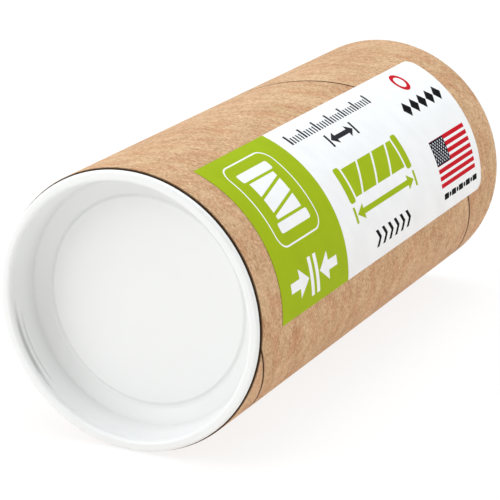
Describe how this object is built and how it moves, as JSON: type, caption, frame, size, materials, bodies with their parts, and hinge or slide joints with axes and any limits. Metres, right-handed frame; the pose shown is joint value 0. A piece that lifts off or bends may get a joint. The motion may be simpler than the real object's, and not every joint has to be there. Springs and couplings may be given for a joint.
{
  "type": "cardboard mailing tube",
  "caption": "Short round kraft paperboard mailing tube with a spiral seam, white recessed plastic plug caps in both ends and a paper label along one side.",
  "frame": {"origin": "centre of the bottom cap's outer face, on the surface the tube stands on", "axes": "+Z along the tube's axis, up to the top cap; the middle of the label faces -Y"},
  "size_m": [0.0802, 0.0804, 0.1814],
  "materials": {
    "kraft_board": "matt brown kraft with a faint sheen",
    "white_plastic": "satin moulded polyethylene",
    "label_paper": "smooth coated paper"
  },
  "bodies": {
    "tube": {"tube": "kraft_board", "label": "label_paper"},
    "top_cap": {"top_cap": "white_plastic"},
    "bottom_cap": {"bottom_cap": "white_plastic"}
  },
  "joints": [
    {"name": "top_cap_pull", "type": "slide", "parent": "tube", "child": "top_cap", "axis": [0, 0, 1], "range_m": [0, 0.03]},
    {"name": "bottom_cap_pull", "type": "slide", "parent": "tube", "child": "bottom_cap", "axis": [0, 0, -1], "range_m": [0, 0.03]}
  ]
}
